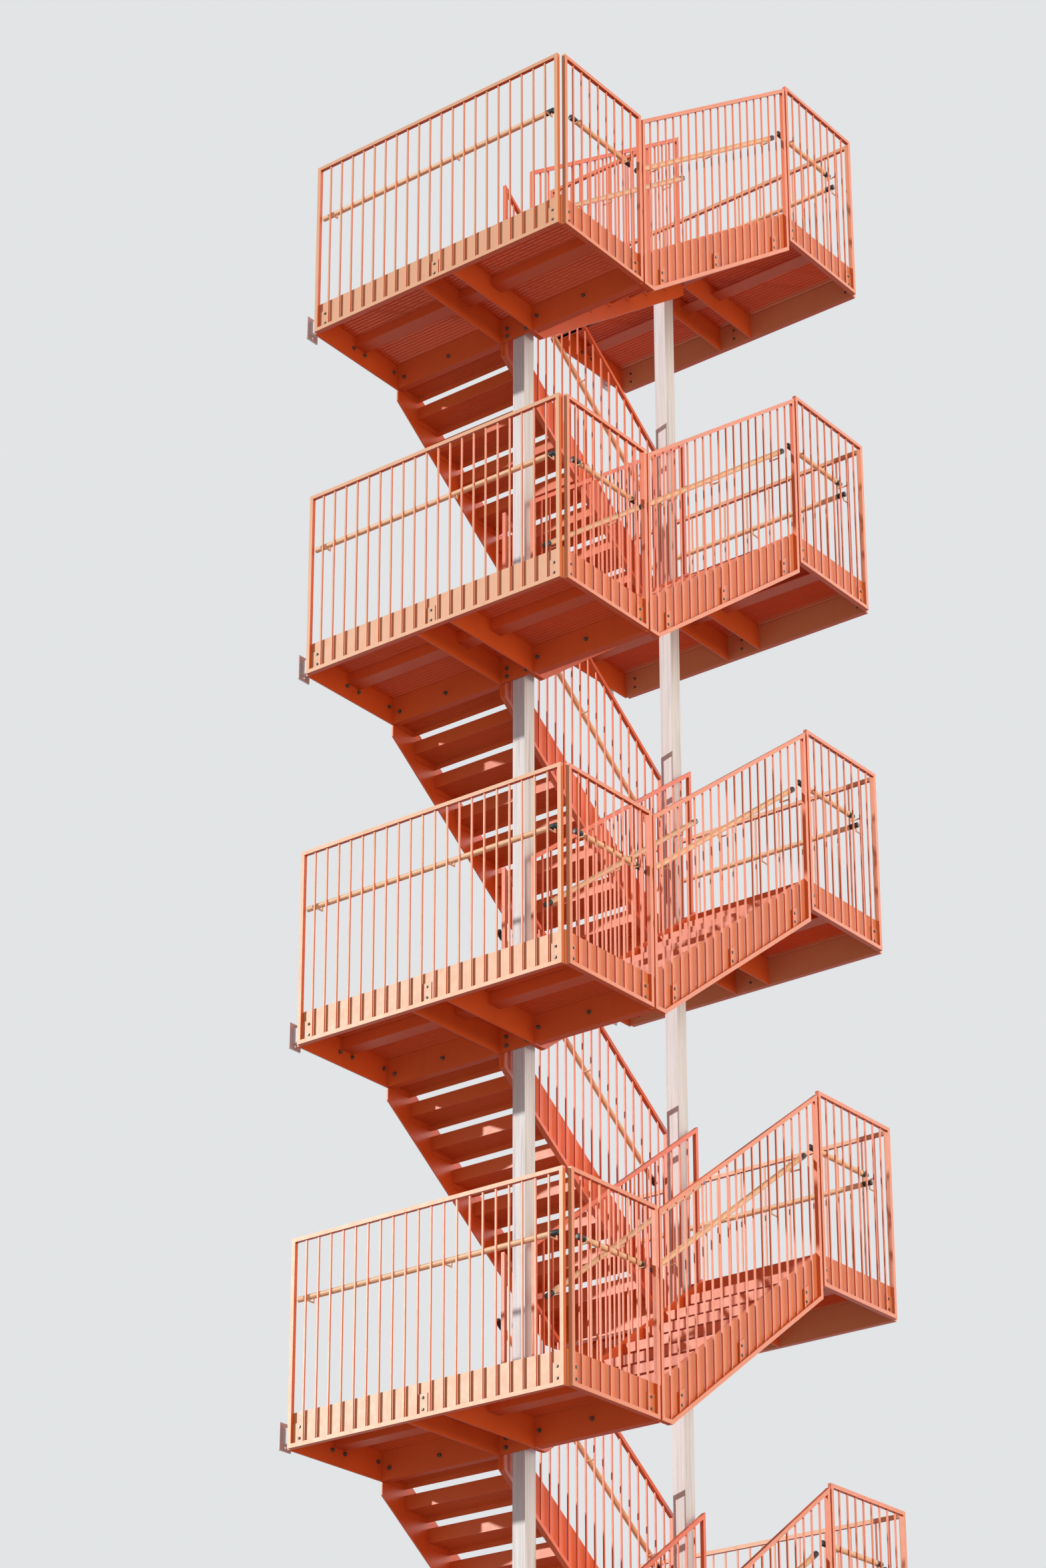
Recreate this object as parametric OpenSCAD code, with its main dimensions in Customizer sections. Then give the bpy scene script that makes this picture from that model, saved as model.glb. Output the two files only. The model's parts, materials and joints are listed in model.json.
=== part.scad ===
// Fire escape stair: two flights side by side round a narrow well, between
// landings at the front and at the rear, carried by two box columns and by
// brackets to the wall on the left. Millimetres, +Z up. +X runs right along
// the front, +Y runs back. The origin is under the middle of the base plate
// of the front column, at ground level.

/* [Storeys] */
// Rise from one front landing to the next
storey_h = 3000; // [2800:50:3200]
// Risers in each flight
risers = 8; // [8:1:9]
// Depth from one nosing to the next
going = 255; // [240:5:280]

/* [Landings] */
// Width of a landing over its guards
landing_w = 2445; // [2300:5:2700]
// Depth of a landing, from the guard's face to the back of its header
landing_d = 1033; // [950:1:1200]
// Depth of the steel frame under a deck, grating included
frame_h = 255; // [230:5:280]
// Thickness of the frame's plates and of the stringers
plate_t = 12; // [10:1:16]
// Distance between the right faces of the two middle beams
beam_gap = 313; // [280:1:360]
// Height of the joist under the grating
joist_h = 90; // [70:5:110]
// Width of the joist's flange
joist_flange = 125; // [80:5:130]

/* [Gratings] */
// Height of the grating bars
grating_h = 35; // [25:1:40]
// Thickness of a grating bar
bar_t = 5; // [3:1:8]
// Spacing of the bars in a deck
deck_bar_pitch = 34; // [30:1:60]
// Spacing of the bars in a tread
tread_bar_pitch = 22; // [20:1:40]
// Height of the plates at the ends and the nose of a tread
tread_plate_h = 70; // [50:5:90]
// Thickness of those plates
tread_plate_t = 6; // [4:1:8]

/* [Stringers] */
// Depth of a stringer, square to the slope
stringer_d = 300; // [260:5:320]
// Height of a stringer's top edge over the line of the nosings
stringer_up = 20; // [0:5:40]

/* [Guards] */
// Height of a landing guard over the deck
guard_h = 1270; // [1100:10:1300]
// Height of a flight guard over the line of the nosings
flight_guard_h = 1240; // [1050:10:1270]
// Width of the square tube round a guard panel
tube = 30; // [25:1:40]
// Width of a baluster
baluster = 12; // [10:1:16]
// Length of the front guard panel
front_panel = 2385; // [2250:5:2600]
// Length of the side guard panel
side_panel = 975; // [900:5:1100]
// Balusters in the front panel
front_balusters = 20; // [18:1:24]
// Balusters in the side panel
side_balusters = 8; // [7:1:10]
// Balusters in a flight's panel
flight_balusters = 18; // [16:1:22]
// Width of the plates that bolt a panel to the frame
lug_w = 80; // [60:5:90]
// Height of those plates
lug_h = 150; // [120:5:180]

/* [Handrails] */
// Outer diameter of a handrail
handrail_d = 42; // [34:1:48]
// Height of a handrail over a landing
handrail_h = 850; // [800:10:900]
// Height of a handrail over the line of the nosings
flight_handrail_h = 800; // [780:10:850]
// Distance from a guard's outer face to the middle of its handrail
handrail_in = 100; // [90:5:120]

/* [Columns] */
// Width of a column along the front
column_w = 110; // [100:5:120]
// Depth of a column
column_d = 120; // [110:5:140]
// Wall of a column
column_wall = 8; // [5:1:10]
// Width of a base plate, between the inner guards
base_w = 220; // [200:5:225]
// Length of a base plate, front to back
base_l = 300; // [260:10:360]
// Thickness of a base plate
base_t = 20; // [15:1:30]
// Spacing of the anchor holes across
anchor_gap_x = 160; // [150:5:170]
// Spacing of the anchor holes front to back
anchor_gap_y = 220; // [180:10:240]
// Radius of an anchor hole
anchor_r = 11; // [9:1:13]

/* [Wall brackets] */
// Reach of a bracket from the frame to the wall
bracket_reach = 112; // [90:1:150]
// Height of a bracket's foot plate
foot_h = 200; // [160:10:240]
// Width of the foot plate
foot_w = 120; // [100:10:160]
// Height between its two holes
foot_gap = 140; // [100:10:160]
// Radius of a hole
foot_r = 9; // [7:1:11]

/* [Hidden] */

// Storeys that the stair climbs, before its last half flight
storeys = 6;
flight_h = storey_h / 2;
riser = flight_h / risers;
slope = riser / going;
pitch = atan(slope);
run = risers * going;

// Planes across the stair, left to right
edge_x = landing_w / 2;
fascia_x = edge_x - tube;
wall_x = -edge_x;
well_r = beam_gap / 2;
well_l = -beam_gap / 2;

// Planes from front to back: the front header's back face is where the flights
// start, and the rear landings mirror the front ones about the middle of the run
flight_y = -column_d / 2 - plate_t;
front_y = flight_y - landing_d;
fascia_y = front_y + tube;
mirror_y = flight_y + run / 2;
rear_column_y = 2 * mirror_y;

// Heights on a flight over its lower deck
stringer_v = stringer_d / cos(pitch);
tube_v = tube / cos(pitch);
stringer_low = stringer_up - stringer_v;

// Guard panels, kept this far from the corner and from each other
panel_gap = 20;
corner_gap_x = 38;
corner_gap_y = 47.5;
flight_panel_y = flight_y + panel_gap / 2;
flight_panel = run - panel_gap;
// Overlap that welds a baluster or a plate into its tube
weld = 5;
// Gap behind a tread
tread_gap = 5;
// Reach of a handrail's arm, from the rail's middle to a baluster's face
arm_reach = handrail_in - (tube + baluster) / 2;
arm_r = 6;
arm_drop = 50;

paint = "Tomato";
zinc = "LightSteelBlue";
rail_paint = "BurlyWood";

// Height of the nosing line over the lower deck, y from the start of the flights
function nose(y) = (y - flight_y) * slope;
// Decks by number, from the ground
function front_z(k) = k * storey_h;
function rear_z(k) = (k - 0.5) * storey_h;
// Middle of baluster i of n in a panel of length l
function baluster_at(i, n, l) = tube / 2 + i * (l - tube) / (n + 1);

// A child at the front, seen at its place behind the mirror plane
module at_rear() {
    translate([0, 2 * mirror_y, 0]) mirror([0, 1, 0]) children();
}

// A flat outline in the plane x, of the given thickness to the right
module upright(x, t) {
    translate([x, 0, 0]) rotate([90, 0, 90]) linear_extrude(t) children();
}

// A box between two corners
module block(low, high) {
    translate(low) cube(high - low);
}

// Box column on its base plate, open below and capped at the top
module column(top) {
    half_w = column_w / 2;
    half_d = column_d / 2;
    inner_w = half_w - column_wall;
    inner_d = half_d - column_wall;
    difference() {
        block([-half_w, -half_d, base_t], [half_w, half_d, top]);
        block([-inner_w, -inner_d, base_t - 1], [inner_w, inner_d, top - plate_t]);
    }
}

module front_column() {
    color(zinc) column(front_z(storeys) - grating_h);
}

module rear_column() {
    color(zinc) at_rear() column(rear_z(storeys + 1) - grating_h);
}

// Base plate of a column, with four anchor holes and a vent hole
module base_plate() {
    vent_r = 12;
    vent_y = 30;
    difference() {
        block([-base_w / 2, -column_d / 2, 0], [base_w / 2, base_l - column_d / 2, base_t]);
        for (x = [-1, 1], y = [-1, 1])
            translate([x * anchor_gap_x / 2, (base_l - column_d + y * anchor_gap_y) / 2, -1])
                cylinder(r = anchor_r, h = base_t + 2, $fn = 32);
        translate([0, vent_y, -1]) cylinder(r = vent_r, h = base_t + 2, $fn = 32);
    }
}

module column_bases() {
    color(zinc) {
        base_plate();
        at_rear() base_plate();
    }
}

// Bracket from the frame's left front corner to the wall
module wall_bracket(z) {
    arm_h = 110;
    arm_w = 60;
    arm_in = 90;
    arm_y = fascia_y + arm_in;
    mid_z = z - frame_h / 2;
    far_x = wall_x - bracket_reach;
    difference() {
        union() {
            block([far_x, arm_y - arm_w / 2, mid_z - arm_h / 2], [wall_x, arm_y + arm_w / 2, mid_z + arm_h / 2]);
            block([far_x, arm_y - foot_w / 2, mid_z - foot_h / 2],
                  [far_x + plate_t, arm_y + foot_w / 2, mid_z + foot_h / 2]);
        }
        for (s = [-1, 1])
            translate([far_x - 1, arm_y, mid_z + s * foot_gap / 2]) rotate([0, 90, 0])
                cylinder(r = foot_r, h = plate_t + 2, $fn = 32);
    }
}

module wall_brackets() {
    color(zinc) {
        for (k = [1 : storeys]) wall_bracket(front_z(k));
        at_rear() for (k = [1 : storeys + 1]) wall_bracket(rear_z(k));
    }
}

// Steel frame of a front landing whose deck is at height z
module landing(z) {
    low = z - frame_h;
    under = z - grating_h;
    header_y = flight_y - plate_t;
    flange_d = 50;
    flange_gap = tread_plate_t + 6;
    seat_w = 220;
    seat_h = 200;
    seat_up = 10;
    joist_t = 8;
    joist_y = (front_y + header_y) / 2 - joist_t;
    difference() {
        block([wall_x, fascia_y, low], [fascia_x, flight_y, z]);
        block([wall_x + plate_t, fascia_y + plate_t, low - 1], [fascia_x - plate_t, header_y, z + 1]);
    }
    for (x = [well_l, well_r])
        block([x - plate_t, fascia_y + plate_t - weld, low], [x, header_y + weld, under]);
    block([wall_x + plate_t - weld, joist_y, under - joist_h],
          [fascia_x - plate_t + weld, joist_y + joist_t, under]);
    block([wall_x + plate_t - weld, joist_y, under - joist_h],
          [fascia_x - plate_t + weld, joist_y + joist_flange, under - joist_h + joist_t]);
    for (bay = [[wall_x + plate_t, well_l - plate_t], [well_r, fascia_x - plate_t]])
        block([bay[0] + flange_gap, flight_y - weld, low],
              [bay[1] - flange_gap, flight_y + flange_d, low + plate_t]);
    block([-seat_w / 2, flight_y - weld, low + seat_up],
          [seat_w / 2, -column_d / 2, low + seat_up + seat_h]);
}

module front_landing(k) {
    color(paint) landing(front_z(k));
}

module rear_landing(k) {
    color(paint) at_rear() landing(rear_z(k));
}

// Grating of a front landing: bars along the front, in one panel over the beams
module deck(z) {
    left = wall_x + plate_t;
    right = fascia_x - plate_t;
    near = fascia_y + plate_t;
    far = flight_y - plate_t;
    bays = [left, well_l - plate_t, well_l, well_r - plate_t, well_r, right];
    slots = floor((far - near - bar_t) / deck_bar_pitch);
    pitch_y = (far - near - bar_t) / slots;
    difference() {
        block([left, near, z - grating_h], [right, far, z]);
        for (b = [0 : 2], i = [0 : slots - 1])
            block([bays[2 * b] + bar_t, near + bar_t + i * pitch_y, z - grating_h - 1],
                  [bays[2 * b + 1] - bar_t, near + (i + 1) * pitch_y, z + 1]);
    }
}

module front_decks() {
    color(paint) for (k = [1 : storeys]) deck(front_z(k));
}

module rear_decks() {
    color(paint) at_rear() for (k = [1 : storeys + 1]) deck(rear_z(k));
}

// Grating tread between the planes left and right, nosing at y, top at z
module tread(left, right, y, z) {
    depth = going - tread_gap;
    slots = floor((depth - tread_plate_t - bar_t) / tread_bar_pitch);
    pitch_y = (depth - tread_plate_t - bar_t) / slots;
    near = y + tread_plate_t;
    difference() {
        block([left, y, z - grating_h], [right, y + depth, z]);
        for (i = [0 : slots - 1])
            block([left + tread_plate_t, near + i * pitch_y, z - grating_h - 1],
                  [right - tread_plate_t, near + (i + 1) * pitch_y - bar_t, z + 1]);
    }
    block([left, y, z - tread_plate_h], [right, y + tread_plate_t, z]);
    for (x = [left, right - tread_plate_t])
        block([x, y, z - tread_plate_h], [x + tread_plate_t, y + depth, z]);
}

// All treads of a flight that climbs to the back from a deck at height z
module treads(left, right, z, first) {
    for (i = [first : risers - 1])
        tread(left, right, flight_y + i * going, z + i * riser);
}

module right_treads(k) {
    color(paint)
        treads(well_r, fascia_x - plate_t, front_z(k - 1), k == 1 ? 1 : 0);
}

module left_treads(k) {
    color(paint) at_rear()
        treads(wall_x + plate_t, well_l - plate_t, rear_z(k), 0);
}

// Side outline of a flight from y0 to y1, between two heights over the nosing
// line and above the level low
module flight_outline(y0, y1, under, over, low) {
    turn_y = flight_y + (low - under) / slope;
    polygon([
        [y0, low], [turn_y, low], [y1, nose(y1) + under],
        [y1, nose(y1) + over], [y0, nose(y0) + over]
    ]);
}

// Stringer in the plane x, climbing to the back from a deck at height z
module stringer(x, z) {
    low = z == 0 ? 0 : -frame_h;
    translate([0, 0, z]) upright(x, plate_t)
        flight_outline(flight_y, flight_y + run, stringer_low, stringer_up, low);
}

module right_stringers() {
    color(paint) for (k = [1 : storeys + 1]) {
        stringer(well_r - plate_t, front_z(k - 1));
        stringer(fascia_x - plate_t, front_z(k - 1));
    }
}

module left_stringers() {
    color(paint) at_rear() for (k = [1 : storeys]) {
        stringer(well_l - plate_t, rear_z(k));
        stringer(wall_x, rear_z(k));
    }
}

// Level guard panel of length l from the origin along X, its outer face at y 0
module level_panel(l, n, lugs) {
    high = guard_h + frame_h;
    difference() {
        cube([l, tube, high]);
        translate([tube, -1, tube]) cube([l - 2 * tube, tube + 2, high - 2 * tube]);
    }
    for (i = [1 : n])
        translate([baluster_at(i, n, l) - baluster / 2, (tube - baluster) / 2, tube - weld])
            cube([baluster, baluster, high - 2 * tube + 2 * weld]);
    for (x = lugs)
        translate([x, tube - tread_plate_t, tube - weld]) cube([lug_w + weld, tread_plate_t, lug_h]);
}

// Front guard of a landing at height z
module front_guard(z) {
    mid = baluster_at(floor(front_balusters / 2), front_balusters, front_panel);
    translate([fascia_x + tube - corner_gap_x - front_panel, front_y, z - frame_h])
        level_panel(front_panel, front_balusters,
                    [tube - weld, mid, front_panel - tube - lug_w]);
}

// Side guard of a landing at height z
module side_guard(z) {
    translate([edge_x, front_y + corner_gap_y, z - frame_h]) rotate([0, 0, 90])
        level_panel(side_panel, side_balusters,
                    [tube - weld, side_panel - tube - lug_w]);
}

module front_guards() {
    color(paint) for (k = [1 : storeys]) front_guard(front_z(k));
}

module front_side_guards() {
    color(paint) for (k = [1 : storeys]) side_guard(front_z(k));
}

module rear_guards() {
    color(paint) at_rear() {
        for (k = [1 : storeys + 1]) front_guard(rear_z(k));
        top_guard(rear_z(storeys + 1));
    }
}

module rear_side_guards() {
    color(paint) at_rear() for (k = [1 : storeys + 1]) side_guard(rear_z(k));
}

// Guard panel of a flight, in the plane x to x + tube, from a deck at height z
module flight_guard(x, z) {
    y0 = flight_panel_y;
    y1 = y0 + flight_panel;
    low = z == 0 ? 0 : -frame_h;
    translate([0, 0, z]) {
        difference() {
            upright(x, tube)
                flight_outline(y0, y1, stringer_low, flight_guard_h, low);
            upright(x - 1, tube + 2)
                flight_outline(y0 + tube, y1 - tube, stringer_low + tube_v,
                               flight_guard_h - tube_v, low + tube);
        }
        for (i = [1 : flight_balusters])
            flight_baluster(x, y0 + baluster_at(i, flight_balusters, flight_panel), low);
    }
}

// One baluster of a flight guard, from the bottom tube to the top tube
module flight_baluster(x, y, low) {
    foot = max(low + tube, nose(y) + stringer_low + tube_v) - 2 * weld;
    head = nose(y) + flight_guard_h - tube_v + 2 * weld;
    block([x + (tube - baluster) / 2, y - baluster / 2, foot],
          [x + (tube + baluster) / 2, y + baluster / 2, head]);
}

module right_outer_guards() {
    color(paint) for (k = [1 : storeys + 1]) flight_guard(fascia_x, front_z(k - 1));
}

module right_inner_guards() {
    color(paint)
        for (k = [1 : storeys + 1]) flight_guard(well_r - plate_t - tube, front_z(k - 1));
}

module left_inner_guards() {
    color(paint) at_rear() for (k = [1 : storeys]) flight_guard(well_l, rear_z(k));
}

// Guard on the header of the top landing, across the bay where no flight goes up
module top_guard(z) {
    bars = 9;
    length = well_l - wall_x - 2 * plate_t;
    translate([wall_x + plate_t, flight_y + tube, z - frame_h])
        mirror([0, 1, 0])
            level_panel(length, bars, [tube - weld, length - tube - lug_w]);
}

// Round rail along X from the origin, with an arm at each place in arms
module handrail(l, arms) {
    rotate([0, 90, 0]) cylinder(d = handrail_d, h = l, $fn = 32);
    for (x = arms) {
        translate([x, 0, -arm_drop]) cylinder(r = arm_r, h = arm_drop, $fn = 16);
        translate([x, 0, -arm_drop]) rotate([90, 0, 0]) cylinder(r = arm_r, h = arm_reach, $fn = 16);
        translate([x, 0, -arm_drop]) sphere(r = arm_r, $fn = 16);
    }
}

// Handrails of a landing at height z: along the front and along the side
module landing_handrails(z) {
    first = edge_x - corner_gap_x - front_panel;
    start = -12;
    long_l = baluster_at(front_balusters, front_balusters, front_panel) + tube / 2 - start;
    function place(i) = baluster_at(i, front_balusters, front_panel) - start;
    translate([first + start, front_y + handrail_in, z + handrail_h])
        handrail(long_l, [for (i = [1, 12, front_balusters]) place(i)]);
    side_start = 200;
    function side_place(i) = baluster_at(i, side_balusters, side_panel) - side_start;
    translate([edge_x - handrail_in, front_y + corner_gap_y + side_start, z + handrail_h])
        rotate([0, 0, 90])
            handrail(side_panel - side_start - tube / 2,
                     [for (i = [2, side_balusters]) side_place(i)]);
}

module front_handrails() {
    color(rail_paint) for (k = [1 : storeys]) landing_handrails(front_z(k));
}

module rear_handrails() {
    color(rail_paint) at_rear() for (k = [1 : storeys + 1]) landing_handrails(rear_z(k));
}

// Sloping handrail beside a guard: side 1 has the guard on its right, -1 on its left
module flight_handrail(x, z, side) {
    start = 60;
    length = (run - 2 * start) / cos(pitch);
    spots = [2, 9, 17];
    translate([x, flight_y + start, z + nose(flight_y + start) + flight_handrail_h])
        rotate([pitch - 90, 0, 0]) cylinder(d = handrail_d, h = length, $fn = 32);
    for (i = spots) {
        y = flight_panel_y + baluster_at(i, flight_balusters, flight_panel);
        translate([x, y, z + nose(y) + flight_handrail_h - arm_drop]) {
            cylinder(r = arm_r, h = arm_drop, $fn = 16);
            rotate([0, side * 90, 0]) cylinder(r = arm_r, h = arm_reach, $fn = 16);
            sphere(r = arm_r, $fn = 16);
        }
    }
}

module right_handrails() {
    color(rail_paint) for (k = [1 : storeys + 1]) {
        flight_handrail(edge_x - handrail_in, front_z(k - 1), 1);
        flight_handrail(well_r - plate_t - tube + handrail_in, front_z(k - 1), -1);
    }
}

module left_handrails() {
    color(rail_paint) at_rear() for (k = [1 : storeys])
        flight_handrail(well_l + tube - handrail_in, rear_z(k), 1);
}

front_column();
rear_column();
column_bases();
wall_brackets();
front_landing(1);  // front_landing_1
front_landing(2);  // front_landing_2
front_landing(3);  // front_landing_3
front_landing(4);  // front_landing_4
front_landing(5);  // front_landing_5
front_landing(6);  // front_landing_6
rear_landing(1);  // rear_landing_1
rear_landing(2);  // rear_landing_2
rear_landing(3);  // rear_landing_3
rear_landing(4);  // rear_landing_4
rear_landing(5);  // rear_landing_5
rear_landing(6);  // rear_landing_6
rear_landing(7);  // rear_landing_7
front_decks();
rear_decks();
right_treads(1);  // right_treads_1
right_treads(2);  // right_treads_2
right_treads(3);  // right_treads_3
right_treads(4);  // right_treads_4
right_treads(5);  // right_treads_5
right_treads(6);  // right_treads_6
right_treads(7);  // right_treads_7
left_treads(1);  // left_treads_1
left_treads(2);  // left_treads_2
left_treads(3);  // left_treads_3
left_treads(4);  // left_treads_4
left_treads(5);  // left_treads_5
left_treads(6);  // left_treads_6
right_stringers();
left_stringers();
front_guards();
front_side_guards();
rear_guards();
rear_side_guards();
right_outer_guards();
right_inner_guards();
left_inner_guards();
front_handrails();
rear_handrails();
right_handrails();
left_handrails();
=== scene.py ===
"""Dresses the fire escape stair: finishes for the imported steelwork, and the small
pieces that the solids leave out, in metres and in the part's own frame."""

from __future__ import annotations

import json
import logging
import math
import random
from dataclasses import dataclass
from enum import Enum
from functools import reduce
import bmesh
import bpy
from mathutils import Matrix, Vector


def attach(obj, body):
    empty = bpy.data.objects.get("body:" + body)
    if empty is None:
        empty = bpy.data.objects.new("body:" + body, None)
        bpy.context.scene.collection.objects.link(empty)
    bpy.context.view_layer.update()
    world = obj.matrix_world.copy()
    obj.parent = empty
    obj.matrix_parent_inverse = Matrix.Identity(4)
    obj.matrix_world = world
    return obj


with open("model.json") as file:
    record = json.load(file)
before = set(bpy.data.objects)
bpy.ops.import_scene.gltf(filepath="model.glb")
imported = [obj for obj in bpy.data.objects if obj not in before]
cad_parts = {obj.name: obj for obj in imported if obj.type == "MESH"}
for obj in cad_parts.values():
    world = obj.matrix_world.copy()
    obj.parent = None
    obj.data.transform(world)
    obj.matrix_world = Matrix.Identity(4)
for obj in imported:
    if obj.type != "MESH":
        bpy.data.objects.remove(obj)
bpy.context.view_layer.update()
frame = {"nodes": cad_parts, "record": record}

LOG = logging.getLogger("stair")
BODY = "root"

Rgb = tuple[int, int, int]
Colour = tuple[float, float, float, float]
Triple = tuple[float, float, float]
Pair = tuple[float, float]
Mesh = bpy.types.Mesh
Piece = bpy.types.Object
Socket = bpy.types.NodeSocket

AHEAD: Triple = (0.0, -1.0, 0.0)
BACK: Triple = (0.0, 1.0, 0.0)
LEFT: Triple = (-1.0, 0.0, 0.0)
RIGHT: Triple = (1.0, 0.0, 0.0)
UP: Triple = (0.0, 0.0, 1.0)


class Slot(Enum):
    """The record's material slots."""

    PAINT = "orange_paint"
    ZINC = "galvanised_steel"
    RAIL = "handrail_paint"


class Side(Enum):
    """Front or rear landings, with the sign that turns a way along y from front to rear."""

    FRONT = 1
    REAR = -1

    @property
    def landings(self) -> str:
        """Name of its landings."""
        return self.name.lower()

    @property
    def flights(self) -> str:
        """Name of the flights that climb from its landings."""
        return "right" if self is Side.FRONT else "left"


@dataclass(frozen=True)
class StairPlan:
    """Levels and planes of the stair, as in the part's source, in metres."""

    storey: float = 3.0
    storeys: int = 6
    treads: int = 8
    going: float = 0.255
    run: float = 2.040
    flight_y: float = -0.072
    front_y: float = -1.105
    mirror_y: float = 0.948
    fascia_y: float = -1.075
    fascia_x: float = 1.1925
    edge_x: float = 1.2225
    well: float = 0.1565
    plate: float = 0.012
    frame: float = 0.255
    grating: float = 0.035
    bar: float = 0.005
    tube: float = 0.030
    lug_face: float = 0.024
    lug_rows: Pair = (0.064, 0.146)
    rail_in: float = 0.100
    rail_up: float = 0.850
    flight_rail_up: float = 0.800
    tread_depth: float = 0.250
    tread_plate: float = 0.006
    toe_gap: float = 0.005
    guard_low: float = -0.3524
    baluster_first: float = 0.025
    baluster_step: float = 1.990 / 19
    front_first: float = 0.0370
    front_step: float = 2.355 / 21
    side_first: float = 0.0625
    side_step: float = 0.945 / 9
    flight_arms: tuple[int, ...] = (2, 9, 17)

    @property
    def riser(self) -> float:
        """Height of one riser, with two flights to a storey."""
        return self.storey / (2 * self.treads)

    @property
    def slope(self) -> float:
        """Rise over run of a flight."""
        return self.riser / self.going

    @property
    def header_y(self) -> float:
        """Front face of a front header."""
        return self.flight_y - self.plate

    @property
    def inner_x(self) -> float:
        """Inner face of a landing's left beam."""
        return -self.edge_x + self.plate

    def flight_ends(self, side: Side) -> Pair:
        """Inner faces of the stringers of the flights that climb from a side."""
        if side is Side.FRONT:
            return self.well, self.fascia_x - self.plate
        return self.inner_x, -self.well - self.plate

    def decks(self, side: Side) -> list[float]:
        """Heights of the landings on one side."""
        if side is Side.FRONT:
            return [k * self.storey for k in range(1, self.storeys + 1)]
        return [(k - 0.5) * self.storey for k in range(1, self.storeys + 2)]

    def place_y(self, side: Side, y: float) -> float:
        """Where a front landing's y lies on the given side."""
        return y if side is Side.FRONT else 2 * self.mirror_y - y

    def flight_baluster(self, number: int) -> float:
        """How far along a flight a baluster of its guard stands."""
        return self.baluster_first + number * self.baluster_step


PLAN = StairPlan()


@dataclass(frozen=True)
class FlightRail:
    """A flight's handrail: its x, the side its arms reach to, and the deck that it starts from."""

    side: Side
    x: float
    hand: float
    deck: float

    def spot(self, run: float, out: float = 0.0, down: float = 0.0) -> Triple:
        """Finds the place a run along the flight, and out towards the guard or down from the rail."""
        z = self.deck + run * PLAN.slope + PLAN.flight_rail_up - down
        return self.x + self.hand * out, PLAN.place_y(self.side, PLAN.flight_y + run), z


def flight_rails() -> list[FlightRail]:
    """Lists the handrails of every flight.

    Returns:
        The right flights' outer rails, their inner ones, and the left flights' inner ones.
    """
    climbs = [k * PLAN.storey for k in range(PLAN.storeys + 1)]
    inner = PLAN.well - PLAN.plate - PLAN.tube + PLAN.rail_in
    left = -PLAN.well + PLAN.tube - PLAN.rail_in
    return (
        [FlightRail(Side.FRONT, PLAN.edge_x - PLAN.rail_in, 1.0, deck) for deck in climbs]
        + [FlightRail(Side.FRONT, inner, -1.0, deck) for deck in climbs]
        + [FlightRail(Side.REAR, left, 1.0, deck) for deck in PLAN.decks(Side.REAR)[: PLAN.storeys]]
    )


def linear(rgb: Rgb) -> Colour:
    """Turns a screen colour of 0 to 255 into the linear colour that shaders take.

    Args:
        rgb: The colour as it shows on a screen.

    Returns:
        Linear red, green, blue and an alpha of one.
    """
    shares = (value / 255.0 for value in rgb)
    red, green, blue = (c / 12.92 if c <= 0.04045 else ((c + 0.055) / 1.055) ** 2.4 for c in shares)
    return red, green, blue, 1.0


def show(name: str, data: bpy.types.ID) -> Piece:
    """Adds an object to the scene.

    Args:
        name: Its name.
        data: Its mesh, lamp or camera.

    Returns:
        The object.
    """
    shown = bpy.data.objects.new(name, data)
    bpy.context.scene.collection.objects.link(shown)
    return shown


def mesh_of(bm: bmesh.types.BMesh, name: str) -> Mesh:
    """Makes a mesh of a finished bmesh, and frees the bmesh.

    Args:
        bm: The shape.
        name: The mesh's name.

    Returns:
        The mesh.
    """
    mesh = bpy.data.meshes.new(name)
    bm.to_mesh(mesh)
    bm.free()
    return mesh


def bevel_above(bm: bmesh.types.BMesh, level: float, offset: float, segments: int) -> None:
    """Bevels the edges that lie wholly above a level.

    Args:
        bm: The shape.
        level: The level.
        offset: How far the bevel goes from the edge.
        segments: How many faces it has.
    """
    bmesh.ops.bevel(
        bm,
        geom=[e for e in bm.edges if all(v.co.z > level for v in e.verts)],
        offset=offset,
        offset_type="OFFSET",
        segments=segments,
        profile=0.5,
        affect="EDGES",
        material=-1,
    )


def add_prism(bm: bmesh.types.BMesh, segments: int, radii: Pair, low: float, height: float) -> None:
    """Adds an upright prism, or a cut cone.

    Args:
        bm: Where it goes.
        segments: Its sides.
        radii: Its radius at the foot and at the top.
        low: Where it starts.
        height: How tall it is.
    """
    bmesh.ops.create_cone(
        bm,
        cap_ends=True,
        segments=segments,
        radius1=radii[0],
        radius2=radii[1],
        depth=height,
        matrix=Matrix.Translation((0.0, 0.0, low + height / 2)),
    )


def add_block(bm: bmesh.types.BMesh, middle: Triple, size: Triple) -> None:
    """Adds a block round a middle, with its length on each axis."""
    place = Matrix.Translation(middle) @ Matrix.Diagonal((*size, 1.0))
    bmesh.ops.create_cube(bm, size=1.0, matrix=place)


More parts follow.
